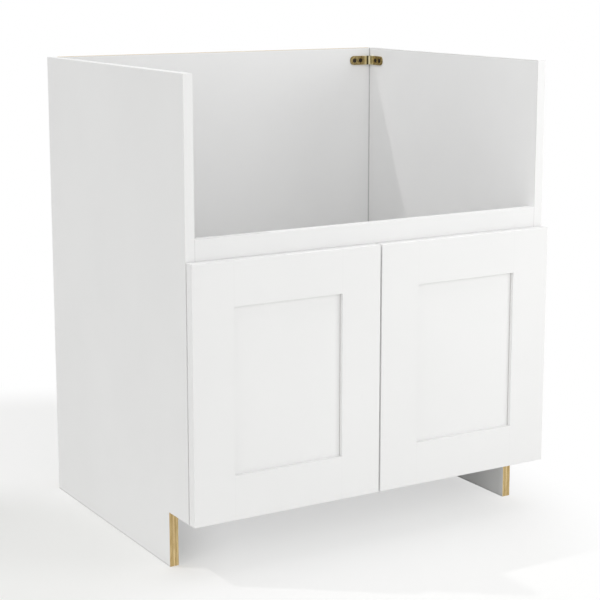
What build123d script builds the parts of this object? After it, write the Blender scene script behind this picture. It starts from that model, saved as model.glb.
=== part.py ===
from build123d import *
import os

# Frameless sink base cabinet for an apron-front sink, 30 in wide. Two side panels stand on the
# floor and carry a bottom deck, a low front rail and a full-height back panel. The top and the
# upper front stay open for the sink. Two shaker doors hang on concealed cup hinges.
# Millimetres. X runs right along the front, Y runs into the depth and Z is up. The origin is on
# the floor, under the middle of the box that holds the cabinet with its doors.

# Carcass
cabinet_width = 762.0
cabinet_height = 876.3
carcass_depth = 584.2
side_thickness = 18.0
deck_thickness = 18.0
rail_thickness = 18.0
back_thickness = 12.0
band_thickness = 1.0
toe_height = 101.6
toe_depth = 76.2
sink_opening_height = 278.0
rail_height = 60.0

# Doors
door_thickness = 19.0
door_rail_overlap = 22.7
door_gap = 2.0
door_side_reveal = 1.0
door_center_gap = 3.5
frame_width = 80.0
panel_recess = 8.0
door_panel_thickness = 6.0
groove_depth = 10.0
groove_play = 0.1
panel_play = 1.0
door_edge_radius = 0.6
bumper_radius = 4.0
bumper_rim_radius = 1.2
bumper_inset = 14.0
bumper_end_inset = 10.0

# Concealed hinge: the pivot lies in the door's thickness, near its outer edge
hinge_end_distance = 80.0
pivot_inset = 5.6
pivot_depth = 9.0
pin_radius = 1.0
pin_length = 14.0
pin_clearance = 0.05
eye_radius = 2.0
cup_radius = 17.5
cup_tab = 2.5
cup_depth = 12.8
cup_wall = 0.8
cup_clearance = 0.05
cup_flange_radius = 18.6
cup_flange_thickness = 1.2
cup_wing_width = 13.0
cup_wing_length = 62.0
cup_wing_corner = 4.0
cup_wing_offset = 6.0
cup_screw_spacing = 48.0
cheek_height = 8.0
cheek_margin = 4.0
spring_thickness = 0.4
spring_end_gap = 1.6
spring_width = 7.0
spring_length = 22.0
arm_nose_width = 10.0
arm_side_play = 0.3
arm_sheet = 1.8
arm_drop = 1.35
arm_side_clearance = 0.6
arm_rise_depth = 5.0
arm_channel_start = 16.0
arm_channel_length = 46.0
arm_channel_width = 16.0
arm_channel_height = 11.0
arm_bend_radius = 1.5
arm_screw_inset = 11.5
plate_setback = 37.0
plate_screw_spacing = 32.0
plate_wing_length = 48.0
plate_wing_width = 14.0
plate_wing_corner = 4.0
plate_wing_thickness = 2.0
plate_rail_width = 11.0
plate_rail_length = 46.0
plate_rail_gap = 1.0

# Corner braces, bent from brass-plated strip
brace_leg = 50.8
brace_width = 19.0
brace_thickness = 2.5
brace_bend_radius = 6.0
brace_end_radius = 8.5
brace_near_hole = 25.4
brace_far_hole = 40.6
brace_hole_radius = 2.4
upper_brace_drop = 26.5
lower_brace_height = 300.0

# Fasteners
brace_screw_head = 4.6
brace_screw_shank = 2.1
brace_screw_length = 12.0
plate_screw_head = 3.8
plate_screw_shank = 2.0
plate_screw_length = 15.0
cup_screw_head = 3.4
cup_screw_shank = 1.7
cup_screw_length = 13.0
back_screw_head = 4.2
back_screw_shank = 2.1
back_screw_length = 40.0
back_screw_count = 4
screw_point = 2.5
recess_width = 0.9
recess_depth = 1.4
recess_reach = 1.2
arm_screw_head = 3.8
arm_screw_head_height = 2.2
arm_screw_shank = 2.4
arm_screw_length = 9.0
dowel_radius = 4.0
dowel_length = 30.0
dowel_in_side = 11.0
back_dowel_radius = 3.0
back_dowel_count = 4
dowel_chamfer = 0.8
deck_dowel_inset = 32.0
rail_dowel_offset = 20.0
cam_radius = 7.5
cam_below_bolt = 3.5
cam_setback = 24.0
cam_inset = 64.0
cam_head_room = 0.4
bolt_thread_radius = 2.5
bolt_thread_length = 11.0
bolt_shaft_radius = 3.0
bolt_neck_radius = 2.0
bolt_head_radius = 3.2
bolt_head_length = 4.0

# Planes and heights that several pieces share
half_width = cabinet_width / 2
inner_half = half_width - side_thickness
overall_depth = carcass_depth + door_gap + door_thickness
rear_y = overall_depth / 2
front_y = rear_y - carcass_depth
back_y = rear_y - back_thickness
deck_top = toe_height + deck_thickness
deck_middle = toe_height + deck_thickness / 2
rail_top = cabinet_height - sink_opening_height
rail_bottom = rail_top - rail_height
rail_middle = rail_top - rail_height / 2
door_back_y = front_y - door_gap
door_front_y = door_back_y - door_thickness
door_width = (cabinet_width - 2 * door_side_reveal - door_center_gap) / 2
door_bottom = toe_height
door_top = rail_bottom + door_rail_overlap
panel_front_y = door_front_y + panel_recess
pivot_y = door_back_y - pivot_depth
pivot_reach = door_side_reveal + pivot_inset
cup_center = door_side_reveal + cup_tab + cup_radius
cup_inner_radius = cup_radius - cup_clearance - cup_wall
cup_floor_y = door_back_y - cup_depth + cup_wall
hinge_heights = {"lower": door_bottom + hinge_end_distance, "upper": door_top - hinge_end_distance}
brace_heights = {"lower": lower_brace_height, "upper": cabinet_height - upper_brace_drop}
sides = {"left": -1, "right": 1}

os.makedirs("parts", exist_ok=True)


def side_x(side, inset):
    """X of a point that lies inset from the outer face of the left (-1) or right (1) side."""
    return side * (half_width - inset)


def span(side, inset_a, inset_b):
    """Low and high X between two insets from one side's outer face."""
    return tuple(sorted((side_x(side, inset_a), side_x(side, inset_b))))


def block(xs, ys, zs, mode=Mode.ADD):
    """Rectangular board between low and high X, Y and Z."""
    with Locations(((xs[0] + xs[1]) / 2, (ys[0] + ys[1]) / 2, (zs[0] + zs[1]) / 2)):
        Box(xs[1] - xs[0], ys[1] - ys[0], zs[1] - zs[0], mode=mode)


def keep(piece, name):
    """Label a finished piece and write its file."""
    piece.part.label = name
    export_step(piece.part, f"parts/{name}.step")


# Fasteners


def cross_recess(head, top):
    """Cut a cross for the driver into the screw head whose top is at this height."""
    with Locations((0, 0, top - recess_depth / 2)):
        Box(head * recess_reach, recess_width, recess_depth, mode=Mode.SUBTRACT)
        Box(recess_width, head * recess_reach, recess_depth, mode=Mode.SUBTRACT)


def wood_screw(head, shank, length, recessed):
    """Flat-head screw, its head flush with Z = 0 and its point down, or the hole it makes."""
    with BuildPart() as screw:
        with BuildSketch(Plane.XZ):
            with BuildLine():
                Polyline(
                    (0, 0),
                    (head, 0),
                    (shank, shank - head),
                    (shank, screw_point - length),
                    (0, -length),
                    close=True,
                )
            make_face()
        revolve(axis=Axis.Z)
        if recessed:
            cross_recess(head, 0)
    return screw


def placed(template, planes):
    """One node that holds a copy of a fastener on each plane."""
    with BuildPart() as group:
        with Locations(*planes):
            add(template.part)
    return group


def screw_set(head, shank, length, planes):
    """The screws on these planes, and the holes that they fill."""
    screws = placed(wood_screw(head, shank, length, recessed=True), planes)
    holes = placed(wood_screw(head, shank, length, recessed=False), planes)
    return screws, holes


def dowel(radius):
    """Beech dowel with its end in the side panel at Z = -dowel_in_side."""
    with BuildPart() as pin:
        with Locations((0, 0, dowel_length / 2 - dowel_in_side)):
            Cylinder(radius, dowel_length)
        chamfer(pin.edges().filter_by(GeomType.CIRCLE), dowel_chamfer)
    return pin


def joint_plane(side, y, z):
    """Plane on a side panel's inner face that looks into the cabinet."""
    return Plane(origin=(side * inner_half, y, z), z_dir=(-side, 0, 0))


deck_cam_depths = (front_y + cam_inset, back_y - cam_inset)
rail_joint_y = front_y + rail_thickness / 2
bolt_planes = [
    joint_plane(side, y, z)
    for side in sides.values()
    for y, z in [(depth, deck_middle) for depth in deck_cam_depths] + [(rail_joint_y, rail_middle)]
]

# Bolt that screws into the side panel and whose head the cam disc pulls
bolt_head_start = cam_setback - bolt_head_length / 2
bolt_neck_start = cam_setback - cam_radius - cam_head_room
with BuildPart() as cam_bolt:
    with BuildSketch(Plane.XZ):
        with BuildLine():
            Polyline(
                (0, -bolt_thread_length),
                (bolt_thread_radius, -bolt_thread_length),
                (bolt_thread_radius, 0),
                (bolt_shaft_radius, 0),
                (bolt_shaft_radius, bolt_neck_start),
                (bolt_neck_radius, bolt_neck_start),
                (bolt_neck_radius, bolt_head_start),
                (bolt_head_radius, bolt_head_start),
                (bolt_head_radius, bolt_head_start + bolt_head_length),
                (0, bolt_head_start + bolt_head_length),
                close=True,
            )
        make_face()
    revolve(axis=Axis.Z)
cam_bolts = placed(cam_bolt, bolt_planes)


def cam_bore(board):
    """Cut the round pocket of a cam into a board of this thickness, face at Z = 0."""
    depth = board / 2 + cam_below_bolt
    with Locations((0, 0, -depth / 2)):
        Cylinder(cam_radius, depth, mode=Mode.SUBTRACT)


def cam_disc(board):
    """Cam for a board of this thickness: face at Z = 0, the bolt coming in along +X."""
    bolt_level = -board / 2
    with BuildPart() as disc:
        with Locations((0, 0, (bolt_level - cam_below_bolt) / 2)):
            Cylinder(cam_radius, cam_below_bolt - bolt_level)
        neck_room = bolt_neck_radius + cam_head_room
        head_room = bolt_head_radius + cam_head_room
        with BuildSketch(Plane.YZ.offset(-bolt_head_length / 2 - cam_head_room)):
            with Locations((0, bolt_level)):
                Circle(head_room)
        extrude(amount=bolt_head_length + 2 * cam_head_room, mode=Mode.SUBTRACT)
        with BuildSketch(Plane.YZ):
            with Locations((0, bolt_level)):
                Circle(neck_room)
        extrude(amount=cam_radius, mode=Mode.SUBTRACT)
        cross_recess(cam_radius, 0)
    return disc


deck_cam_planes = [
    Plane(
        origin=(side * (inner_half - cam_setback), depth, toe_height),
        x_dir=(side, 0, 0),
        z_dir=(0, 0, -1),
    )
    for side in sides.values()
    for depth in deck_cam_depths
]
rail_cam_planes = [
    Plane(
        origin=(side * (inner_half - cam_setback), front_y + rail_thickness, rail_middle),
        x_dir=(side, 0, 0),
        z_dir=(0, 1, 0),
    )
    for side in sides.values()
]
deck_cam = cam_disc(deck_thickness)
rail_cam = cam_disc(rail_thickness)
with BuildPart() as cam_discs:
    with Locations(*deck_cam_planes):
        add(deck_cam.part)
    with Locations(*rail_cam_planes):
        add(rail_cam.part)

deck_dowel_rows = [(front_y + deck_dowel_inset, deck_middle), (back_y - deck_dowel_inset, deck_middle)]
rail_dowel_rows = [
    (rail_joint_y, rail_middle - rail_dowel_offset),
    (rail_joint_y, rail_middle + rail_dowel_offset),
]
wood_dowels = placed(
    dowel(dowel_radius),
    [joint_plane(side, y, z) for side in sides.values() for y, z in deck_dowel_rows + rail_dowel_rows],
)
back_dowel_pitch = cabinet_height / back_dowel_count
back_dowels = placed(
    dowel(back_dowel_radius),
    [
        joint_plane(side, back_y + back_thickness / 2, (row + 0.5) * back_dowel_pitch)
        for side in sides.values()
        for row in range(back_dowel_count)
    ],
)
back_screw_pitch = 2 * inner_half / back_screw_count
back_panel_screws, back_screw_holes = screw_set(
    back_screw_head,
    back_screw_shank,
    back_screw_length,
    [
        Plane(
            origin=((column + 0.5) * back_screw_pitch - inner_half, rear_y, deck_middle),
            z_dir=(0, 1, 0),
        )
        for column in range(back_screw_count)
    ],
)


def brace_hole_planes(side, height):
    """Screw positions of one brace: two on the back panel and two on the side panel."""
    planes = []
    for reach in (brace_near_hole, brace_far_hole):
        on_back = (side * (inner_half - reach), back_y - brace_thickness, height)
        on_side = (side * (inner_half - brace_thickness), back_y - reach, height)
        planes.append(Plane(origin=on_back, z_dir=(0, -1, 0)))
        planes.append(Plane(origin=on_side, z_dir=(-side, 0, 0)))
    return planes


brace_screws, brace_screw_holes = screw_set(
    brace_screw_head,
    brace_screw_shank,
    brace_screw_length,
    [
        plane
        for side in sides.values()
        for height in brace_heights.values()
        for plane in brace_hole_planes(side, height)
    ],
)

plate_screw_planes = [
    Plane(
        origin=(side_x(side, side_thickness + plate_wing_thickness), front_y + plate_setback, z),
        z_dir=(-side, 0, 0),
    )
    for side in sides.values()
    for height in hinge_heights.values()
    for z in (height - plate_screw_spacing / 2, height + plate_screw_spacing / 2)
]
hinge_plate_screws, plate_screw_holes = screw_set(
    plate_screw_head, plate_screw_shank, plate_screw_length, plate_screw_planes
)

# Carcass


def side_panel(side):
    """Plywood side with a toe notch at its front foot, bored on its inner face."""
    core_front = front_y + band_thickness
    core_top = cabinet_height - band_thickness
    with BuildPart() as panel:
        with BuildSketch(Plane.YZ.offset(span(side, 0, side_thickness)[0])):
            with BuildLine():
                Polyline(
                    (front_y + toe_depth, 0),
                    (rear_y, 0),
                    (rear_y, core_top),
                    (core_front, core_top),
                    (core_front, toe_height),
                    (front_y + toe_depth, toe_height),
                    close=True,
                )
            make_face()
        extrude(amount=side_thickness)
        for bored in (cam_bolts, wood_dowels, back_dowels, brace_screw_holes, plate_screw_holes):
            add(bored.part, mode=Mode.SUBTRACT)
    return panel


for name, side in sides.items():
    keep(side_panel(side), f"{name}_side_panel")

    # White edge bands: one down the front edge to the toe notch, one along the top edge
    with BuildPart() as front_band:
        block(
            span(side, 0, side_thickness),
            (front_y, front_y + band_thickness),
            (toe_height, cabinet_height - band_thickness),
        )
    keep(front_band, f"{name}_side_front_band")
    with BuildPart() as top_band:
        block(
            span(side, 0, side_thickness),
            (front_y, rear_y),
            (cabinet_height - band_thickness, cabinet_height),
        )
    keep(top_band, f"{name}_side_top_band")

inner_span = (-inner_half, inner_half)
with BuildPart() as bottom_deck:
    block(inner_span, (front_y + band_thickness, back_y), (toe_height, deck_top))
    with Locations(*deck_cam_planes):
        cam_bore(deck_thickness)
    for bored in (cam_bolts, wood_dowels, back_screw_holes):
        add(bored.part, mode=Mode.SUBTRACT)
keep(bottom_deck, "bottom_deck")

with BuildPart() as deck_front_band:
    block(inner_span, (front_y, front_y + band_thickness), (toe_height, deck_top))
keep(deck_front_band, "deck_front_band")

with BuildPart() as back_panel:
    block(inner_span, (back_y, rear_y), (0, cabinet_height))
    for bored in (back_dowels, back_screw_holes, brace_screw_holes):
        add(bored.part, mode=Mode.SUBTRACT)
keep(back_panel, "back_panel")

rail_depth = (front_y, front_y + rail_thickness)
with BuildPart() as front_rail:
    block(inner_span, rail_depth, (rail_bottom + band_thickness, rail_top - band_thickness))
    with Locations(*rail_cam_planes):
        cam_bore(rail_thickness)
    for bored in (cam_bolts, wood_dowels):
        add(bored.part, mode=Mode.SUBTRACT)
keep(front_rail, "front_rail")

with BuildPart() as front_rail_bands:
    block(inner_span, rail_depth, (rail_bottom, rail_bottom + band_thickness))
    block(inner_span, rail_depth, (rail_top - band_thickness, rail_top))
keep(front_rail_bands, "front_rail_bands")


def corner_brace(side, height):
    """Strip bent square with a round bend, its ends rounded and its holes countersunk."""
    corner = (side * inner_half, back_y)

    def local(across, forward):
        return (corner[0] - side * across, corner[1] - forward)

    with BuildPart() as brace:
        with BuildSketch(Plane.XY.offset(height - brace_width / 2)) as strip:
            with BuildLine():
                Polyline(
                    local(0, 0),
                    local(brace_leg, 0),
                    local(brace_leg, brace_thickness),
                    local(brace_thickness, brace_thickness),
                    local(brace_thickness, brace_leg),
                    local(0, brace_leg),
                    close=True,
                )
            make_face()
            outer = strip.vertices().sort_by_distance(local(0, 0))[0]
            fillet(outer, brace_bend_radius + brace_thickness)
            inner = strip.vertices().sort_by_distance(local(brace_thickness, brace_thickness))[0]
            fillet(inner, brace_bend_radius)
        extrude(amount=brace_width)
        back_tip = Vertex(*local(brace_leg, 0), height)
        side_tip = Vertex(*local(0, brace_leg), height)
        back_corners = brace.edges().filter_by(Axis.Y).sort_by_distance(back_tip)[:2]
        side_corners = brace.edges().filter_by(Axis.X).sort_by_distance(side_tip)[:2]
        fillet(back_corners + side_corners, brace_end_radius)
        with Locations(*brace_hole_planes(side, height)):
            CounterSinkHole(
                radius=brace_hole_radius,
                counter_sink_radius=brace_screw_head,
                depth=brace_thickness,
                counter_sink_angle=90,
            )
    return brace


for name, side in sides.items():
    for level, height in brace_heights.items():
        keep(corner_brace(side, height), f"{name}_{level}_corner_brace")

keep(cam_bolts, "cam_bolts")
keep(cam_discs, "cam_discs")
keep(wood_dowels, "wood_dowels")
keep(back_dowels, "back_dowels")
keep(back_panel_screws, "back_panel_screws")
keep(brace_screws, "brace_screws")
keep(hinge_plate_screws, "hinge_plate_screws")

# Hinges

web_outer = side_thickness + plate_wing_thickness + arm_channel_height - arm_sheet
rail_seat = web_outer - arm_sheet
arm_screw_depths = (
    arm_channel_start + arm_screw_inset,
    arm_channel_start + arm_channel_length - arm_screw_inset,
)

# Two screws through each arm: the front one sets it sideways, the rear one clamps it
with BuildPart() as arm_screw:
    with Locations((0, 0, arm_screw_head_height / 2)):
        Cylinder(arm_screw_head, arm_screw_head_height)
    with Locations((0, 0, -arm_screw_length / 2)):
        Cylinder(arm_screw_shank, arm_screw_length)
    cross_recess(arm_screw_head, arm_screw_head_height)
hinge_arm_screws = placed(
    arm_screw,
    [
        Plane(origin=(side_x(side, web_outer), front_y + depth, height), z_dir=(-side, 0, 0))
        for side in sides.values()
        for height in hinge_heights.values()
        for depth in arm_screw_depths
    ],
)
keep(hinge_arm_screws, "hinge_arm_screws")


def mounting_plate(side, height):
    """Plate on the side panel: two screwed wings and a raised rail that the arm sits on."""
    seat = Plane(
        origin=(side_x(side, side_thickness), front_y + plate_setback, height),
        x_dir=(0, 1, 0),
        z_dir=(-side, 0, 0),
    )
    rail_start = front_y + arm_channel_start + plate_rail_gap
    with BuildPart() as plate:
        with BuildSketch(seat):
            RectangleRounded(plate_wing_width, plate_wing_length, plate_wing_corner)
        extrude(amount=plate_wing_thickness)
        block(
            span(side, side_thickness, rail_seat),
            (rail_start, rail_start + plate_rail_length),
            (height - plate_rail_width / 2, height + plate_rail_width / 2),
        )
        add(plate_screw_holes.part, mode=Mode.SUBTRACT)
        add(hinge_arm_screws.part, mode=Mode.SUBTRACT)
    return plate


def hinge_arm(side, height):
    """Pressed steel arm: an eye on the pin, a gooseneck that clears the door, and a channel."""
    def plan(inset, y):
        return (side_x(side, inset), y)

    neck_y = pivot_y - arm_drop
    rise_inset = side_thickness + arm_side_clearance + arm_sheet / 2
    web_middle = web_outer - arm_sheet / 2
    channel_y = front_y + arm_channel_start
    channel_end = channel_y + arm_channel_length
    with BuildPart() as arm:
        with BuildSketch(Plane.XY.offset(height - arm_nose_width / 2)):
            with BuildLine():
                FilletPolyline(
                    plan(pivot_reach, neck_y),
                    plan(rise_inset, neck_y),
                    plan(rise_inset, front_y + arm_rise_depth),
                    plan(web_middle, channel_y),
                    plan(web_middle, channel_y + 2 * arm_sheet),
                    radius=arm_bend_radius,
                )
            trace(line_width=arm_sheet)
            with Locations(plan(pivot_reach, pivot_y)):
                Circle(eye_radius)
        extrude(amount=arm_nose_width)
        with Locations((*plan(pivot_reach, pivot_y), height)):
            Cylinder(pin_radius + pin_clearance, arm_nose_width, mode=Mode.SUBTRACT)
        half_channel = arm_channel_width / 2
        block(
            span(side, side_thickness + plate_wing_thickness, web_outer),
            (channel_y, channel_end),
            (height - half_channel, height + half_channel),
        )
        block(
            span(side, side_thickness, rail_seat),
            (channel_y, channel_end + arm_sheet),
            (height - half_channel + arm_sheet, height + half_channel - arm_sheet),
            mode=Mode.SUBTRACT,
        )
        add(hinge_arm_screws.part, mode=Mode.SUBTRACT)
    return arm


def cup_plane(side, height, y):
    """Plane at a cup's centre that looks into the cabinet."""
    return Plane(origin=(side_x(side, cup_center), y, height), x_dir=(side, 0, 0), z_dir=(0, -1, 0))


def cup_screw_planes(side):
    """Screw positions in the wings of one door's two cups."""
    return [
        Plane(
            origin=(
                side_x(side, cup_center + cup_wing_offset),
                door_back_y + cup_flange_thickness,
                height + shift,
            ),
            z_dir=(0, 1, 0),
        )
        for height in hinge_heights.values()
        for shift in (-cup_screw_spacing / 2, cup_screw_spacing / 2)
    ]


def hinge_cup(side, height, screw_holes):
    """Steel cup let into the door, slotted beside the pivot, with cheeks that hold the pin."""
    rim = cup_plane(side, height, door_back_y)
    slot_half = arm_nose_width / 2 + arm_side_play
    cheek_reach = cup_center - pivot_reach - cheek_margin
    with BuildPart() as cup:
        with BuildSketch(rim):
            Circle(cup_radius - cup_clearance)
        extrude(amount=cup_depth)
        with BuildSketch(rim):
            Circle(cup_inner_radius)
        extrude(amount=cup_depth - cup_wall, mode=Mode.SUBTRACT)
        with BuildSketch(rim.offset(-cup_flange_thickness)):
            Circle(cup_flange_radius)
            with Locations((-cup_wing_offset, 0)):
                RectangleRounded(cup_wing_width, cup_wing_length, cup_wing_corner)
            Circle(cup_inner_radius, mode=Mode.SUBTRACT)
            with Locations((cheek_reach + cup_radius, 0)):
                Rectangle(2 * cup_radius, cup_wing_length, mode=Mode.SUBTRACT)
        extrude(amount=cup_flange_thickness)
        with BuildSketch(cup_plane(side, height, cup_floor_y + cheek_height)):
            Circle(cup_inner_radius + cup_wall / 2)
            with Locations((cheek_reach - cup_radius, 0)):
                Rectangle(2 * cup_radius, 2 * cup_radius, mode=Mode.SUBTRACT)
        extrude(amount=cheek_height)
        block(
            span(side, 0, cup_center - cheek_reach + cup_wall),
            (cup_floor_y, door_back_y + cup_flange_thickness),
            (height - slot_half, height + slot_half),
            mode=Mode.SUBTRACT,
        )
        with Locations((side_x(side, pivot_reach), pivot_y, height)):
            Cylinder(pin_radius, pin_length, mode=Mode.SUBTRACT)
        add(screw_holes.part, mode=Mode.SUBTRACT)
    return cup


def pivot_pin(side, height):
    """Steel pin, tight in the cup's cheeks and free in the arm's eye."""
    with BuildPart() as pin:
        with Locations((side_x(side, pivot_reach), pivot_y, height)):
            Cylinder(pin_radius, pin_length)
    return pin


def closing_springs(side):
    """Flat springs on the floors of one door's two cups, under the arms' necks."""
    start = cup_center - cup_inner_radius + spring_end_gap
    with BuildPart() as springs:
        for height in hinge_heights.values():
            block(
                span(side, start, start + spring_length),
                (cup_floor_y, cup_floor_y + spring_thickness),
                (height - spring_width / 2, height + spring_width / 2),
            )
    return springs


# Doors: the stiles run full height, and one groove all round holds the rails' tongues and the panel

door_depth = (door_front_y, door_back_y)
tongue_depth = (panel_front_y, panel_front_y + door_panel_thickness)
groove_depth_span = (tongue_depth[0] - groove_play, tongue_depth[1] + groove_play)
far_stile_inset = door_side_reveal + door_width - frame_width
panel_reach = groove_depth - panel_play


def door_stile(side, role, cup_screw_holes):
    """Upright of a door: the hinge stile also has the bores for its two cups."""
    hinged = role == "hinge"
    inset = door_side_reveal if hinged else far_stile_inset
    groove_inset = inset + frame_width - groove_depth if hinged else inset
    with BuildPart() as stile:
        block(span(side, inset, inset + frame_width), door_depth, (door_bottom, door_top))
        front_edges = stile.edges().group_by(Axis.Y)[0]
        uprights = front_edges.filter_by(Axis.Z).sort_by(Axis.X)
        outer_edge = uprights[-1] if (side > 0) == hinged else uprights[0]
        fillet([outer_edge] + front_edges.filter_by(Axis.X), door_edge_radius)
        block(
            span(side, groove_inset, groove_inset + groove_depth),
            groove_depth_span,
            (door_bottom, door_top),
            mode=Mode.SUBTRACT,
        )
        if hinged:
            for height in hinge_heights.values():
                with BuildSketch(cup_plane(side, height, door_back_y)):
                    Circle(cup_radius)
                extrude(amount=cup_depth, mode=Mode.SUBTRACT)
            add(cup_screw_holes.part, mode=Mode.SUBTRACT)
    return stile


def door_rail(side, edge, inward):
    """Crosspiece of a door, from its outer edge's height up (1) or down (-1), with two tongues."""
    def heights(near, far):
        return tuple(sorted((edge + inward * near, edge + inward * far)))

    between = span(side, door_side_reveal + frame_width, far_stile_inset)
    tongue_reach = groove_depth - groove_play
    tongue_end = frame_width - groove_depth
    with BuildPart() as rail:
        block(between, door_depth, heights(0, frame_width))
        front_edges = rail.edges().group_by(Axis.Y)[0].filter_by(Axis.X).sort_by(Axis.Z)
        fillet(front_edges[0] if inward > 0 else front_edges[-1], door_edge_radius)
        block(
            (between[0] - tongue_reach, between[1] + tongue_reach), tongue_depth, heights(0, tongue_end)
        )
        block(between, groove_depth_span, heights(tongue_end, frame_width), mode=Mode.SUBTRACT)
    return rail


def door_panel(side):
    """Flat panel that floats in the groove."""
    between = span(side, door_side_reveal + frame_width, far_stile_inset)
    with BuildPart() as panel:
        block(
            (between[0] - panel_reach, between[1] + panel_reach),
            tongue_depth,
            (door_bottom + frame_width - panel_reach, door_top - frame_width + panel_reach),
        )
    return panel


def door_bumpers(side):
    """Soft bumpers that the closed door rests on, one on the deck's edge and one on the rail."""
    x = side_x(side, door_side_reveal + door_width - bumper_inset)
    heights = (door_bottom + bumper_end_inset, door_top - bumper_end_inset)
    with BuildPart() as bumpers:
        with Locations(*[Plane(origin=(x, door_back_y, z), z_dir=(0, 1, 0)) for z in heights]):
            with Locations((0, 0, door_gap / 2)):
                Cylinder(bumper_radius, door_gap)
        fillet(bumpers.edges().group_by(Axis.Y)[-1], bumper_rim_radius)
    return bumpers


for name, side in sides.items():
    cup_screws, cup_screw_holes = screw_set(
        cup_screw_head, cup_screw_shank, cup_screw_length, cup_screw_planes(side)
    )
    keep(cup_screws, f"{name}_cup_screws")
    keep(closing_springs(side), f"{name}_closing_springs")
    for level, height in hinge_heights.items():
        keep(hinge_cup(side, height, cup_screw_holes), f"{name}_{level}_hinge_cup")
        keep(pivot_pin(side, height), f"{name}_{level}_hinge_pin")
        keep(hinge_arm(side, height), f"{name}_{level}_hinge_arm")
        keep(mounting_plate(side, height), f"{name}_{level}_mounting_plate")
    for role in ("hinge", "meeting"):
        keep(door_stile(side, role, cup_screw_holes), f"{name}_door_{role}_stile")
    keep(door_rail(side, door_bottom, 1), f"{name}_door_bottom_rail")
    keep(door_rail(side, door_top, -1), f"{name}_door_top_rail")
    keep(door_panel(side), f"{name}_door_panel")
    keep(door_bumpers(side), f"{name}_door_bumpers")
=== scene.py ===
import math

import bpy
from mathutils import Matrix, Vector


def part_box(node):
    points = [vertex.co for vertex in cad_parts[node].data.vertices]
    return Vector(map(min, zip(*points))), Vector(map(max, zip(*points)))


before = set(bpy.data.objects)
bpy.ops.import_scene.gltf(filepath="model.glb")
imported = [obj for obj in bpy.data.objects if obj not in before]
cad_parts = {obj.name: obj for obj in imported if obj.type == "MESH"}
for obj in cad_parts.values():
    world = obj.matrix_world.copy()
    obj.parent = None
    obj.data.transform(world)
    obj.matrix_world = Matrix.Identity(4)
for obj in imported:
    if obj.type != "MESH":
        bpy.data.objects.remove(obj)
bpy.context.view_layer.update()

# Camera: to the left of the cabinet and a little above its top, looking ten degrees down, with a
# long lens. The small shift keeps the cabinet's place in the picture.
lens_length = 95.31
picture_shift = -0.07
camera_place = (-1.5600, -2.6207, 1.0443)
camera_tilt = math.radians(79.70)
camera_turn = math.radians(-30.95)
camera_data = bpy.data.cameras.new("camera")
camera_data.sensor_width = 36.0
camera_data.lens = lens_length
camera_data.shift_y = picture_shift
camera = bpy.data.objects.new("camera", camera_data)
camera.location = camera_place
camera.rotation_euler = (camera_tilt, 0.0, camera_turn)
bpy.context.scene.collection.objects.link(camera)
bpy.context.scene.camera = camera
bpy.context.scene.view_settings.view_transform = "Standard"


# Studio light: a white room with a broad window ahead on the left, a soft lamp near the right front
# corner that makes the doors brighter to the right, a soft box overhead that fills the open top,
# and a high light from behind on the left that draws the slanting shadow beside the rear corner.
def feed(tree, node, sockets):
    """Values or links for a node's inputs, by name or number."""
    for name, value in sockets.items():
        if isinstance(value, bpy.types.NodeSocket):
            tree.links.new(value, node.inputs[name])
        else:
            node.inputs[name].default_value = value


def add_node(tree, kind, sockets=None, **settings):
    """A shader node with its own settings, and values or links for its inputs."""
    node = tree.nodes.new(kind)
    for name, value in settings.items():
        setattr(node, name, value)
    feed(tree, node, sockets or {})
    return node


def add_math(tree, operation, *values, clamp=False):
    """The result of one sum on values or sockets."""
    sockets = dict(enumerate(values))
    node = add_node(tree, "ShaderNodeMath", sockets, operation=operation, use_clamp=clamp)
    return node.outputs[0]


def seen_directly(tree):
    """1 for rays from the camera, from a mirror or through glass, and 0 for light on surfaces."""
    path = add_node(tree, "ShaderNodeLightPath").outputs
    direct = add_math(tree, "MAXIMUM", path["Is Camera Ray"], path["Is Glossy Ray"])
    return add_math(tree, "MAXIMUM", direct, path["Is Transmission Ray"])


pure_white = (1.0, 1.0, 1.0, 1.0)
room_level = 0.46
window_level = 0.93
window_direction = (-0.7, -0.7, 0.1)
window_narrowness = 3.0
world = bpy.data.worlds.new("room")
world.use_nodes = True
room = world.node_tree
room.nodes.clear()
direction = add_node(room, "ShaderNodeTexCoord").outputs["Generated"]
toward_window = add_node(
    room, "ShaderNodeVectorMath", {0: direction, 1: window_direction}, operation="DOT_PRODUCT"
).outputs["Value"]
ahead = add_math(room, "MAXIMUM", toward_window, 0.0)
window = add_math(room, "POWER", ahead, window_narrowness)
light = add_math(room, "MULTIPLY_ADD", window, window_level, room_level)
short_of_white = add_math(room, "SUBTRACT", 1.0, light)
level = add_math(room, "MULTIPLY_ADD", seen_directly(room), short_of_white, light)
backdrop = add_node(room, "ShaderNodeBackground", {"Color": pure_white, "Strength": level})
add_node(room, "ShaderNodeOutputWorld", {"Surface": backdrop.outputs[0]})
bpy.context.scene.world = world


def add_lamp(name, kind, place, target, **settings):
    """A lamp at a place that points at a target."""
    data = bpy.data.lights.new(name, kind)
    for key, value in settings.items():
        setattr(data, key, value)
    lamp = bpy.data.objects.new(name, data)
    lamp.location = place
    away = [p - t for p, t in zip(place, target)]
    turn = math.atan2(away[0], -away[1])
    lamp.rotation_euler = (math.atan2(math.hypot(away[0], away[1]), away[2]), 0.0, turn)
    bpy.context.scene.collection.objects.link(lamp)


add_lamp("front_lamp", "AREA", (1.25, -1.95, 1.25), (0.0, -0.3, 0.45), energy=12.4, size=1.1)
add_lamp("soft_box", "AREA", (0.0, -0.3, 2.2), (0.0, -0.3, 0.5), energy=9.3, size=1.5)
add_lamp("high_rear_light", "SUN", (-1.6, 1.23, 3.0), (0.0, 0.0, 0.0), energy=0.55, angle=0.02)


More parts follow.
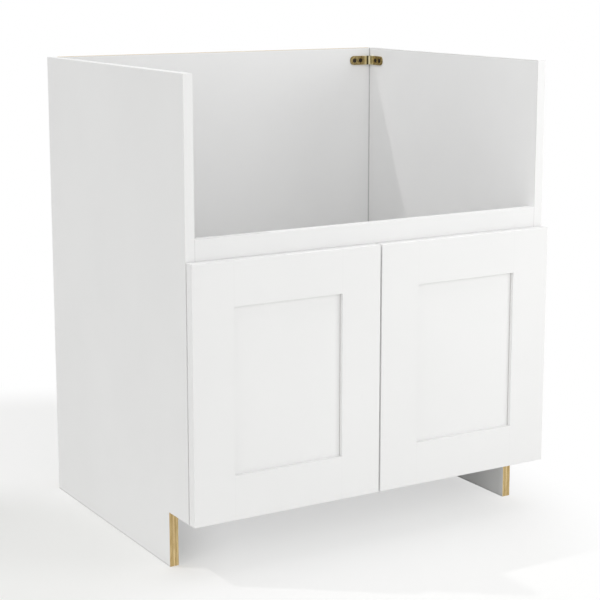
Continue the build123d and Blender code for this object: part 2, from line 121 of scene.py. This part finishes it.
# Floor: white studio floor that runs out of sight on all sides. Much of its white is its own glow
# around the cabinet, so that the shadow stays pale and soft, and all of it is farther out. The glow
# is left low near the cabinet, so a pool of painted shade lies there on top of its real shadow. It
# has none of its own on the cabinet's left, where the painted shade is deepest.
def ramp(tree, value, low, high, at_low=0.0, at_high=1.0):
    """Smooth step of a value between two limits."""
    limits = {"From Min": low, "From Max": high, "To Min": at_low, "To Max": at_high}
    sockets = {"Value": value, **limits}
    node = add_node(tree, "ShaderNodeMapRange", sockets, interpolation_type="SMOOTHSTEP")
    return node.outputs[0]


floor_reach = 14.0
floor_white = (0.93, 0.93, 0.915, 1.0)
deepest_painted_shade = (-0.68, 0.0, 0.0)
shadow_rim = (0.23, 0.49)
shadow_end = (0.98, 1.24)
white_beside_shadow = 0.545
white_far_out = 0.455
floor_corners = [
    (-floor_reach, -floor_reach, 0.0),
    (floor_reach, -floor_reach, 0.0),
    (floor_reach, floor_reach, 0.0),
    (-floor_reach, floor_reach, 0.0),
]
floor_mesh = bpy.data.meshes.new("floor")
floor_mesh.from_pydata(floor_corners, [], [(0, 1, 2, 3)])
floor = bpy.data.objects.new("floor", floor_mesh)
bpy.context.scene.collection.objects.link(floor)
floor_paint = bpy.data.materials.new("studio_floor")
floor_paint.use_nodes = True
tree = floor_paint.node_tree
tree.nodes.clear()
matt = add_node(tree, "ShaderNodeBsdfDiffuse", {"Color": floor_white}).outputs[0]
glow = add_node(tree, "ShaderNodeEmission", {"Color": pure_white, "Strength": 1.0}).outputs[0]
spot = add_node(tree, "ShaderNodeTexCoord").outputs["Object"]
distance = add_node(
    tree, "ShaderNodeVectorMath", {0: spot, 1: deepest_painted_shade}, operation="DISTANCE"
).outputs["Value"]
# The two ramps keep the glow low near the cabinet, which paints shade on the floor there.
beside_shadow = ramp(tree, distance, *shadow_rim, at_high=white_beside_shadow)
far_out = ramp(tree, distance, *shadow_end, at_high=white_far_out)
whiteness = add_math(tree, "ADD", beside_shadow, far_out)
own_white = add_math(tree, "MULTIPLY", seen_directly(tree), whiteness)
shown = add_node(tree, "ShaderNodeMixShader", {0: own_white, 1: matt, 2: glow})
add_node(tree, "ShaderNodeOutputMaterial", {"Surface": shown.outputs[0]})
floor_mesh.materials.append(floor_paint)


# Side panels: 18 mm birch plywood boards, pressed with a hard white facing on both sides, and sawn
# to a rectangle with a toe notch. The notch, the foot and the rear edge stay raw, so the plies show
# there. A thin painted shadow line runs along the foot, and one where a panel meets the back panel.
def make_group(name, inputs, outputs):
    """A shader node group with these named sockets, what it is given, and its end node."""
    group = bpy.data.node_groups.new(name, "ShaderNodeTree")
    for label, kind, value in inputs:
        socket = group.interface.new_socket(label, in_out="INPUT", socket_type="NodeSocket" + kind)
        socket.default_value = value
    for label, kind in outputs:
        group.interface.new_socket(label, in_out="OUTPUT", socket_type="NodeSocket" + kind)
    return group, group.nodes.new("NodeGroupInput").outputs, group.nodes.new("NodeGroupOutput")


def place_group(tree, group, sockets):
    """A group in a material with this material's own values, and its outputs."""
    return add_node(tree, "ShaderNodeGroup", sockets, node_tree=group).outputs


def mix_colour(tree, factor, first, second):
    """Colour between two colours or sockets."""
    sockets = {0: factor, 6: first, 7: second}
    return add_node(tree, "ShaderNodeMix", sockets, data_type="RGBA").outputs[2]


def mix_value(tree, factor, first, second):
    """Number between two numbers or sockets."""
    return add_node(tree, "ShaderNodeMix", {0: factor, 2: first, 3: second}).outputs[0]


def noise(tree, point, scale, detail):
    """Cloudy noise at a point."""
    sockets = {"Vector": point, "Scale": scale, "Detail": detail}
    return add_node(tree, "ShaderNodeTexNoise", sockets).outputs[0]


def streaks(tree, point, stretch, detail):
    """Noise drawn out by its own amount along each axis, as grain and brush marks are."""
    sockets = {0: point, 1: stretch}
    drawn_out = add_node(tree, "ShaderNodeVectorMath", sockets, operation="MULTIPLY").outputs[0]
    return noise(tree, drawn_out, scale=1.0, detail=detail)


# White coat: the faint clouds, dust nibs and orange peel of a rolled or sprayed white finish. Its
# first values are those of the boards' facing.
white_coat, given, coat_out = make_group(
    "white_coat",
    [
        ("Point", "Vector", (0.0, 0.0, 0.0)),
        ("Paint", "Color", (0.86, 0.86, 0.857, 1.0)),
        ("Cloud", "Float", 0.02),
        ("Nib", "Float", 0.03),
        ("Peel Scale", "Float", 520.0),
        ("Roughness", "Float", 0.5),
    ],
    [("Colour", "Color"), ("Roughness", "Float"), ("Height", "Float")],
)
cloud = ramp(white_coat, noise(white_coat, given["Point"], scale=4.0, detail=3.0), 0.3, 0.7)
nib = ramp(white_coat, noise(white_coat, given["Point"], scale=700.0, detail=1.0), 0.68, 0.8)
clouded = add_math(white_coat, "MULTIPLY", cloud, given["Cloud"])
dusted = add_math(white_coat, "MULTIPLY", nib, given["Nib"])
tone = add_math(white_coat, "SUBTRACT", 1.0, add_math(white_coat, "ADD", clouded, dusted))
painted = add_node(
    white_coat, "ShaderNodeVectorMath", {0: given["Paint"], "Scale": tone}, operation="SCALE"
).outputs[0]
smear = noise(white_coat, given["Point"], scale=17.0, detail=4.0)
duller = ramp(white_coat, smear, 0.3, 0.7, at_low=0.92, at_high=1.1)
feed(
    white_coat,
    coat_out,
    {
        "Colour": painted,
        "Roughness": add_math(white_coat, "MULTIPLY", duller, given["Roughness"]),
        "Height": noise(white_coat, given["Point"], scale=given["Peel Scale"], detail=2.0),
    },
)

# Ply edge: nine veneers laid crosswise, so that streaks along the edge and end grain take turns,
# with a dark glue line between each two and the white facing's own edge on both sides. Its first
# colours are those of golden birch.
ply_edge, given, ply_out = make_group(
    "ply_edge",
    [
        ("Point", "Vector", (0.0, 0.0, 0.0)),
        ("Across", "Float", 0.5),
        ("Plies", "Float", 9.0),
        ("Along Scale", "Vector", (1500.0, 1500.0, 30.0)),
        ("Crosswise Scale", "Vector", (1500.0, 30.0, 1500.0)),
        ("Pale", "Color", (0.92, 0.76, 0.43, 1.0)),
        ("Dark", "Color", (0.5, 0.33, 0.12, 1.0)),
        ("Glue", "Color", (0.28, 0.16, 0.06, 1.0)),
    ],
    [("Colour", "Color"), ("Height", "Float"), ("Facing", "Float")],
)
layer = add_math(ply_edge, "MULTIPLY", given["Across"], given["Plies"])
number = add_math(ply_edge, "FLOOR", layer)
crosswise = add_math(ply_edge, "FLOORED_MODULO", number, 2.0)
veneer = add_node(
    ply_edge, "ShaderNodeTexWhiteNoise", {"W": number}, noise_dimensions="1D"
).outputs[0]
along_grain = streaks(ply_edge, given["Point"], given["Along Scale"], detail=3.0)
end_grain = streaks(ply_edge, given["Point"], given["Crosswise Scale"], detail=3.0)
grain = mix_value(ply_edge, crosswise, along_grain, end_grain)
blotch = streaks(ply_edge, given["Point"], (700.0, 700.0, 40.0), detail=2.0)
grain_shade = ramp(ply_edge, grain, 0.34, 0.66, at_high=0.4)
veneer_shade = add_math(ply_edge, "MULTIPLY", veneer, 0.55)
blotch_shade = ramp(ply_edge, blotch, 0.48, 0.66, at_high=0.42)
streaked = add_math(ply_edge, "ADD", grain_shade, veneer_shade)
shade = add_math(ply_edge, "ADD", streaked, blotch_shade, clamp=True)
wood = mix_colour(ply_edge, shade, given["Pale"], given["Dark"])
off_ply_middle = add_math(ply_edge, "SUBTRACT", add_math(ply_edge, "FRACT", layer), 0.5)
glue = ramp(ply_edge, add_math(ply_edge, "ABSOLUTE", off_ply_middle), 0.4, 0.47, at_high=0.65)
off_core = add_math(ply_edge, "SUBTRACT", given["Across"], 0.5)
feed(
    ply_edge,
    ply_out,
    {
        "Colour": mix_colour(ply_edge, glue, wood, given["Glue"]),
        "Height": add_math(ply_edge, "SUBTRACT", 1.0, add_math(ply_edge, "MAXIMUM", grain, glue)),
        "Facing": ramp(ply_edge, add_math(ply_edge, "ABSOLUTE", off_core), 0.474, 0.482),
    },
)

# Seam: a fine line where two pieces meet, at one value of a coordinate.
seam, given, seam_out = make_group(
    "seam",
    [("Coordinate", "Float", 0.0), ("Place", "Float", 0.0), ("Half Width", "Float", 0.001)],
    [("Line", "Float")],
)
off_line = add_math(seam, "SUBTRACT", given["Coordinate"], given["Place"])
share = add_math(seam, "DIVIDE", add_math(seam, "ABSOLUTE", off_line), given["Half Width"])
feed(seam, seam_out, {"Line": ramp(seam, share, 0.5, 1.0, at_low=1.0, at_high=0.0)})


def start_material(name):
    """A new material: its tree, its Principled shader, and the place and normal in the piece."""
    material = bpy.data.materials.new(name)
    material.use_nodes = True
    tree = material.node_tree
    shader = tree.nodes["Principled BSDF"]
    place = add_node(tree, "ShaderNodeTexCoord").outputs
    return material, tree, shader, place["Object"], place["Normal"]


def axes(tree, vector):
    """The three parts of a vector."""
    return add_node(tree, "ShaderNodeSeparateXYZ", {0: vector}).outputs


def mirrored(tree, point, axis):
    """A point's place along an axis. X counts outward from the cabinet's middle on both sides."""
    place = axes(tree, point)[axis]
    return add_math(tree, "ABSOLUTE", place) if axis == "X" else place


def seam_line(tree, coordinate, place, half_width):
    """Mask of one seam."""
    sockets = {"Coordinate": coordinate, "Place": place, "Half Width": half_width}
    return place_group(tree, seam, sockets)["Line"]


def dress(tree, shader, surface, height, relief):
    """The shader's inputs, and its fine relief in metres."""
    feed(tree, shader, surface)
    sockets = {"Height": height, "Distance": relief, "Strength": 1.0}
    bump = add_node(tree, "ShaderNodeBump", sockets)
    tree.links.new(bump.outputs[0], shader.inputs["Normal"])


def give(material, *nodes):
    """The material on every slot of these nodes of the model."""
    for name in nodes:
        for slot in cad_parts[name].material_slots:
            slot.material = material


def faced_board(name, axis, low, high, along, crosswise, seams):
    """Plywood board with a white facing across one axis, raw edges, and painted shadow lines at its
    seams.
    """
    seam_shadow_tone = (0.1, 0.1, 0.095, 1.0)
    raw_roughness = 0.8
    material, tree, shader, point, normal = start_material(name)
    coat = place_group(tree, white_coat, {"Point": point})
    into_board = add_math(tree, "SUBTRACT", mirrored(tree, point, axis), low)
    across = add_math(tree, "DIVIDE", into_board, high - low)
    edge = place_group(
        tree,
        ply_edge,
        {"Point": point, "Across": across, "Along Scale": along, "Crosswise Scale": crosswise},
    )
    squareness = add_math(tree, "ABSOLUTE", axes(tree, normal)[axis])
    both_faces = add_math(tree, "GREATER_THAN", squareness, 0.5)
    low_half = add_math(tree, "LESS_THAN", across, 0.5)
    low_face = add_math(tree, "MULTIPLY", both_faces, low_half)
    white = add_math(tree, "MAXIMUM", both_faces, edge["Facing"])
    colour = mix_colour(tree, white, edge["Colour"], coat["Colour"])
    # Painted shadow lines darken the white faces at the seams.
    for line in seams:
        coordinate = mirrored(tree, point, line["axis"])
        mask = seam_line(tree, coordinate, line["place"], line["half_width"])
        faces = both_faces if line["on_both_faces"] else low_face
        on_white = add_math(tree, "MULTIPLY", mask, faces)
        darkened = add_math(tree, "MULTIPLY", on_white, line["darkness"])
        colour = mix_colour(tree, darkened, colour, seam_shadow_tone)
    surface = {
        "Base Color": colour,
        "Roughness": mix_value(tree, white, raw_roughness, coat["Roughness"]),
        "Specular IOR Level": 0.2,
    }
    height = mix_value(tree, white, edge["Height"], coat["Height"])
    dress(tree, shader, surface, height, relief=0.00003)
    return material


side_low, side_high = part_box("right_side_panel")
back_low, back_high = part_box("back_panel")
side_board = faced_board(
    "side_board",
    axis="X",
    low=side_low.x,
    high=side_high.x,
    along=(1500.0, 1500.0, 30.0),
    crosswise=(1500.0, 30.0, 1500.0),
    # Painted shadow lines: on the inner face where the back panel meets it, and along the foot.
    seams=[
        {
            "axis": "Y",
            "place": back_low.y,
            "half_width": 0.0022,
            "darkness": 0.34,
            "on_both_faces": False,
        },
        {
            "axis": "Z",
            "place": side_low.z,
            "half_width": 0.0035,
            "darkness": 0.22,
            "on_both_faces": True,
        },
    ],
)
give(side_board, "left_side_panel", "right_side_panel")


# Edge bands of the side panels: 1 mm white strip, glued on the front and top edges with hot glue
# and trimmed flush, so a hairline of glue shows along the panel.
def banded(name, joint):
    """White edge band, with a hairline of glue at its joint with the side panels."""
    band_white = (0.87, 0.87, 0.867, 1.0)
    glue_tone = (0.35, 0.33, 0.3, 1.0)
    glue_strength = 0.28
    material, tree, shader, point, _ = start_material(name)
    coat = place_group(
        tree,
        white_coat,
        {
            "Point": point,
            "Paint": band_white,
            "Cloud": 0.012,
            "Nib": 0.02,
            "Peel Scale": 900.0,
            "Roughness": 0.45,
        },
    )
    line = seam_line(tree, mirrored(tree, point, "X"), joint, half_width=0.0005)
    faint = add_math(tree, "MULTIPLY", line, glue_strength)
    surface = {
        "Base Color": mix_colour(tree, faint, coat["Colour"], glue_tone),
        "Roughness": coat["Roughness"],
        "Specular IOR Level": 0.22,
    }
    dress(tree, shader, surface, coat["Height"], relief=0.00001)
    return material


side_band = banded("side_band", side_low.x)
give(
    side_band,
    "left_side_front_band",
    "left_side_top_band",
    "right_side_front_band",
    "right_side_top_band",
)

# Back panel: 12 mm birch plywood board with the same white facing, set between the side panels on
# dowels. Its top edge stays raw, and its sides meet the panels in a thin painted shadow line.
back_board = faced_board(
    "back_board",
    axis="Y",
    low=back_low.y,
    high=back_high.y,
    along=(1500.0, 1500.0, 30.0),
    crosswise=(30.0, 1500.0, 1500.0),
    # Painted shadow line on the front face, where the back panel meets the side panels.
    seams=[
        {
            "axis": "X",
            "place": back_high.x,
            "half_width": 0.0024,
            "darkness": 0.38,
            "on_both_faces": False,
        },
    ],
)
give(back_board, "back_panel")

# Bottom deck: 18 mm plywood board with white facings, set between the side panels on dowels and
# drawn tight by cams. A white band covers its front edge.
deck_low, deck_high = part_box("bottom_deck")
deck_board = faced_board(
    "deck_board",
    axis="Z",
    low=deck_low.z,
    high=deck_high.z,
    along=(30.0, 1500.0, 1500.0),
    crosswise=(1500.0, 30.0, 1500.0),
    # Painted shadow line on the underside, where the deck meets the side panels.
    seams=[
        {
            "axis": "X",
            "place": deck_high.x,
            "half_width": 0.0008,
            "darkness": 0.4,
            "on_both_faces": False,
        },
    ],
)
give(deck_board, "bottom_deck")
deck_band = banded("deck_band", deck_high.x)
give(deck_band, "deck_front_band")

# Front rail: 18 mm plywood strip below the sink opening, white on both faces, with white bands on
# its top and bottom edges. Its ends butt against the side panels.
rail_low, rail_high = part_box("front_rail")
rail_board = faced_board(
    "rail_board",
    axis="Y",
    low=rail_low.y,
    high=rail_high.y,
    along=(30.0, 1500.0, 1500.0),
    crosswise=(1500.0, 1500.0, 30.0),
    # Painted shadow line on the front face, where the rail butts against the side panels.
    seams=[
        {
            "axis": "X",
            "place": rail_high.x,
            "half_width": 0.0007,
            "darkness": 0.28,
            "on_both_faces": False,
        },
    ],
)
give(rail_board, "front_rail")
rail_band = banded("rail_band", rail_high.x)
give(rail_band, "front_rail_bands")

# Dowels: turned beech pins with eased ends, glued into the panels. Beech has short brown flecks
# along its grain, which runs along the pin.
pale_beech = (0.74, 0.55, 0.36, 1.0)
brown_beech = (0.6, 0.41, 0.24, 1.0)
fleck_brown = (0.36, 0.2, 0.1, 1.0)
dowel_beech, tree, shader, point, _ = start_material("dowel_beech")
fleck = streaks(tree, point, (180.0, 2400.0, 2400.0), detail=2.0)
tint = streaks(tree, point, (12.0, 260.0, 260.0), detail=2.0)
beech = mix_colour(tree, tint, pale_beech, brown_beech)
flecked = mix_colour(tree, ramp(tree, fleck, 0.55, 0.75, at_high=0.7), beech, fleck_brown)
surface = {
    "Base Color": flecked,
    "Roughness": ramp(tree, fleck, 0.3, 0.7, at_low=0.55, at_high=0.7),
}
dress(tree, shader, surface, fleck, relief=0.00005)
give(dowel_beech, "wood_dowels", "back_dowels")

# Cam bolts and cam discs: the bolts are zinc-plated steel, screwed into the side panels. The discs
# are cast zinc, dull grey with a fine cast skin, and turn in their bores to draw the boards tight.
metal_wear, given, wear_out = make_group(
    "metal_wear",
    [
        ("Point", "Vector", (0.0, 0.0, 0.0)),
        ("Brush Scale", "Vector", (3000.0, 3000.0, 300.0)),
        ("Stain Scale", "Float", 120.0),
        ("Roughness", "Float", 0.3),
        ("Spread", "Float", 0.1),
    ],
    [("Stain", "Float"), ("Roughness", "Float"), ("Height", "Float")],
)
brushing = streaks(metal_wear, given["Point"], given["Brush Scale"], detail=3.0)
staining = noise(metal_wear, given["Point"], scale=given["Stain Scale"], detail=4.0)
stain = ramp(metal_wear, staining, 0.35, 0.68)
uneven = add_math(metal_wear, "ADD", add_math(metal_wear, "MULTIPLY", brushing, 0.5), stain)
dullness = add_math(metal_wear, "MULTIPLY_ADD", uneven, given["Spread"], given["Roughness"])
feed(metal_wear, wear_out, {"Stain": stain, "Roughness": dullness, "Height": brushing})


def metal(name, bright, dull, brush, stain_scale, roughness, spread, relief=0.000004):
    """Metal that goes from bright to dull in patches, with fine brushing."""
    material, tree, shader, point, _ = start_material(name)
    wear = place_group(
        tree,
        metal_wear,
        {
            "Point": point,
            "Brush Scale": brush,
            "Stain Scale": stain_scale,
            "Roughness": roughness,
            "Spread": spread,
        },
    )
    surface = {
        "Base Color": mix_colour(tree, wear["Stain"], bright, dull),
        "Roughness": wear["Roughness"],
        "Metallic": 1.0,
    }
    dress(tree, shader, surface, wear["Height"], relief)
    return material


zinc_plate = metal(
    "zinc_plate",
    bright=(0.74, 0.75, 0.77, 1.0),
    dull=(0.58, 0.6, 0.64, 1.0),
    brush=(400.0, 3000.0, 3000.0),
    stain_scale=180.0,
    roughness=0.26,
    spread=0.14,
)
give(zinc_plate, "cam_bolts")
cast_zinc = metal(
    "cast_zinc",
    bright=(0.62, 0.63, 0.65, 1.0),
    dull=(0.47, 0.48, 0.5, 1.0),
    brush=(2200.0, 2200.0, 2200.0),
    stain_scale=320.0,
    roughness=0.42,
    spread=0.18,
    relief=0.00002,
)
give(cast_zinc, "cam_discs")

# Back panel screws: long zinc-plated steel screws with flat heads, driven through the back panel
# into the deck's rear edge until the heads lie flush.
give(zinc_plate, "back_panel_screws")

# Corner braces: brass-plated steel strip, bent square and antiqued. A painted highlight lies on
# both sides of the bend, with a painted dark reflection in the bend, and brown stains lie in
# patches, mostly away from the bend.
plain_brass = (0.5, 0.4, 0.19, 1.0)
highlight_brass = (0.86, 0.77, 0.5, 1.0)
browned_brass = (0.17, 0.115, 0.04, 1.0)
reflection_black = (0.045, 0.035, 0.012, 1.0)
highlight_reach = (0.009, 0.02)
dark_reflection_place = 0.0045
dark_reflection_width = (0.0021, 0.0036)
antique_brass, tree, shader, point, _ = start_material("antique_brass")
wear = place_group(
    tree,
    metal_wear,
    {
        "Point": point,
        "Brush Scale": (500.0, 500.0, 3500.0),
        "Stain Scale": 260.0,
        "Roughness": 0.24,
        "Spread": 0.16,
    },
)
from_side = add_math(tree, "SUBTRACT", side_low.x, mirrored(tree, point, "X"))
from_back = add_math(tree, "SUBTRACT", back_low.y, mirrored(tree, point, "Y"))
along = add_math(tree, "SUBTRACT", from_side, from_back)
off_corner = add_math(tree, "ABSOLUTE", along)
off_dark_reflection = add_math(tree, "ABSOLUTE", add_math(tree, "SUBTRACT", along, dark_reflection_place))
# Painted highlight on both sides of the bend, and a painted dark reflection in the bend.
painted_highlight = ramp(tree, off_corner, *highlight_reach, at_low=1.0, at_high=0.0)
painted_dark_reflection = ramp(tree, off_dark_reflection, *dark_reflection_width, at_low=0.94, at_high=0.0)
browned = add_math(tree, "MULTIPLY", wear["Stain"], mix_value(tree, painted_highlight, 0.8, 0.1))
brass = mix_colour(tree, painted_highlight, plain_brass, highlight_brass)
aged = mix_colour(tree, browned, brass, browned_brass)
surface = {
    "Base Color": mix_colour(tree, painted_dark_reflection, aged, reflection_black),
    "Roughness": wear["Roughness"],
    "Metallic": 1.0,
}
dress(tree, shader, surface, wear["Height"], relief=0.000006)
give(
    antique_brass,
    "left_upper_corner_brace",
    "right_upper_corner_brace",
    "left_lower_corner_brace",
    "right_lower_corner_brace",
)

# Brace screws: short countersunk screws with a dark bronze finish, two on each leg of a brace. They
# hold the braces to the side panels and the back panel.
dark_bronze = metal(
    "dark_bronze",
    bright=(0.085, 0.07, 0.055, 1.0),
    dull=(0.03, 0.024, 0.018, 1.0),
    brush=(3000.0, 3000.0, 3000.0),
    stain_scale=500.0,
    roughness=0.34,
    spread=0.16,
)
give(dark_bronze, "brace_screws")


# Doors: five pieces each. Maple stiles and rails are tongued into one groove, sanded flush and
# sprayed satin white. A hairline in the paint shows where a rail meets a stile.
def sprayed(name, half_width, strength, beside_rails):
    """Satin white lacquer, with a fine line by the inner edges of both stiles: a paint hairline on
    the frame, a painted shadow line on the panels.
    """
    satin_white = (0.868, 0.868, 0.865, 1.0)
    hairline_and_shadow_grey = (0.45, 0.44, 0.42, 1.0)
    material, tree, shader, point, _ = start_material(name)
    coat = place_group(
        tree,
        white_coat,
        {
            "Point": point,
            "Paint": satin_white,
            "Cloud": 0.014,
            "Nib": 0.015,
            "Peel Scale": 340.0,
            "Roughness": 0.44,
        },
    )
    shown_part = 1.0
    if beside_rails:
        upward = mirrored(tree, point, "Z")
        low_rail = add_math(tree, "LESS_THAN", upward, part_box("left_door_bottom_rail")[1].z)
        high_rail = add_math(tree, "GREATER_THAN", upward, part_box("left_door_top_rail")[0].z)
        shown_part = add_math(tree, "MAXIMUM", low_rail, high_rail)
    outward = mirrored(tree, point, "X")
    stile_edges = (
        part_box("right_door_hinge_stile")[0].x,
        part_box("right_door_meeting_stile")[1].x,
    )
    colour = coat["Colour"]
    height = coat["Height"]
    # Each line is a paint hairline on the frame, and a painted shadow line on the panels.
    for stile_edge in stile_edges:
        whole_line = seam_line(tree, outward, stile_edge, half_width)
        line = add_math(tree, "MULTIPLY", whole_line, shown_part)
        faint = add_math(tree, "MULTIPLY", line, strength)
        colour = mix_colour(tree, faint, colour, hairline_and_shadow_grey)
        height = add_math(tree, "SUBTRACT", height, line)
    surface = {
        "Base Color": colour,
        "Roughness": coat["Roughness"],
        "Specular IOR Level": 0.25,
    }
    dress(tree, shader, surface, height, relief=0.00002)
    return material


door_frame_lacquer = sprayed(
    "door_frame_lacquer", half_width=0.00035, strength=0.1, beside_rails=True
)
for side in ("left", "right"):
    give(
        door_frame_lacquer,
        f"{side}_door_hinge_stile",
        f"{side}_door_meeting_stile",
        f"{side}_door_top_rail",
        f"{side}_door_bottom_rail",
    )

# Door panels: flat 6 mm boards that float in the groove, sprayed with the same satin white. A fine
# painted shadow line, with a shallow dip in its relief, runs along the stiles, at the gap that
# leaves the panel free to swell across its grain.
door_panel_lacquer = sprayed(
    "door_panel_lacquer", half_width=0.0013, strength=0.8, beside_rails=False
)
give(door_panel_lacquer, "left_door_panel", "right_door_panel")

# Door bumpers: clear soft polyurethane buttons with a rounded rim, stuck to the backs of the doors,
# so that a door closes quietly against the cabinet.
clear_tone = (0.93, 0.94, 0.95, 1.0)
hazy_tone = (0.8, 0.82, 0.83, 1.0)
clear_button, tree, shader, point, _ = start_material("clear_button")
haze = noise(tree, point, scale=600.0, detail=3.0)
surface = {
    "Base Color": mix_colour(tree, haze, clear_tone, hazy_tone),
    "Roughness": ramp(tree, haze, 0.3, 0.7, at_low=0.16, at_high=0.32),
    "Transmission Weight": 0.8,
    "IOR": 1.48,
}
dress(tree, shader, surface, haze, relief=0.00002)
give(clear_button, "left_door_bumpers", "right_door_bumpers")

# Hinges: pressed steel cups, arms and mounting plates, nickel plated to a soft shine, with drawn
# steel pins. The cups are pressed into the doors and the plates are screwed to the side panels.
nickel_plate = metal(
    "nickel_plate",
    bright=(0.78, 0.77, 0.75, 1.0),
    dull=(0.66, 0.65, 0.63, 1.0),
    brush=(700.0, 700.0, 3200.0),
    stain_scale=140.0,
    roughness=0.2,
    spread=0.1,
)
drawn_steel = metal(
    "drawn_steel",
    bright=(0.7, 0.7, 0.71, 1.0),
    dull=(0.55, 0.55, 0.57, 1.0),
    brush=(3000.0, 3000.0, 400.0),
    stain_scale=400.0,
    roughness=0.2,
    spread=0.12,
)
for side in ("left", "right"):
    for level in ("upper", "lower"):
        give(
            nickel_plate,
            f"{side}_{level}_hinge_cup",
            f"{side}_{level}_hinge_arm",
            f"{side}_{level}_mounting_plate",
        )
        give(drawn_steel, f"{side}_{level}_hinge_pin")

# Closing springs: flat strips of rolled spring steel, blued by tempering. They lie on the floors of
# the hinge cups and keep a closed door shut.
spring_strip = metal(
    "spring_strip",
    bright=(0.5, 0.5, 0.52, 1.0),
    dull=(0.33, 0.34, 0.4, 1.0),
    brush=(300.0, 3000.0, 3000.0),
    stain_scale=260.0,
    roughness=0.26,
    spread=0.12,
)
give(spring_strip, "left_closing_springs", "right_closing_springs")

# Hinge screws: short zinc-plated steel screws. They hold the cups in the doors, the plates on the
# side panels and the arms on the plates.
give(zinc_plate, "left_cup_screws", "right_cup_screws", "hinge_plate_screws", "hinge_arm_screws")
